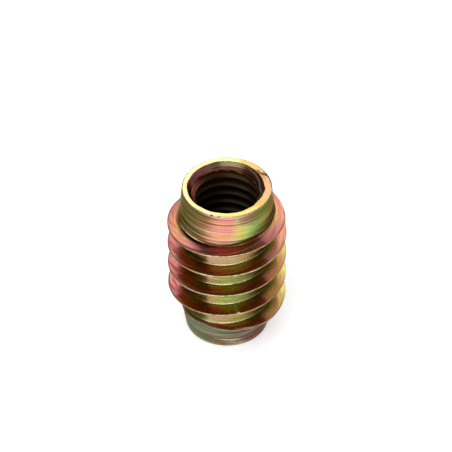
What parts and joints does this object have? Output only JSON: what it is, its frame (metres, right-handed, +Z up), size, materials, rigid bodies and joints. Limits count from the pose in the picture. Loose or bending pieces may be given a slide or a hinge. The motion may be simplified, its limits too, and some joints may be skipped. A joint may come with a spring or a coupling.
{
  "type": "threaded insert",
  "caption": "Flangeless threaded insert for wood: coarse outer thread, plain neck and pilot, machine-thread bore right through.",
  "frame": {"origin": "centre of the base ring, on the bore's axis", "axes": "+Z up along the bore, from the pilot's foot to the rim of the neck; the wood thread's ridge comes out of the pilot 155 degrees round from +X towards +Y"},
  "size_m": [0.016, 0.016, 0.0241],
  "materials": {
    "yellow_zinc_steel": "turned steel, zinc plated with an iridescent yellow chromate"
  },
  "bodies": {
    "root": {"insert_body": "yellow_zinc_steel"}
  },
  "joints": []
}
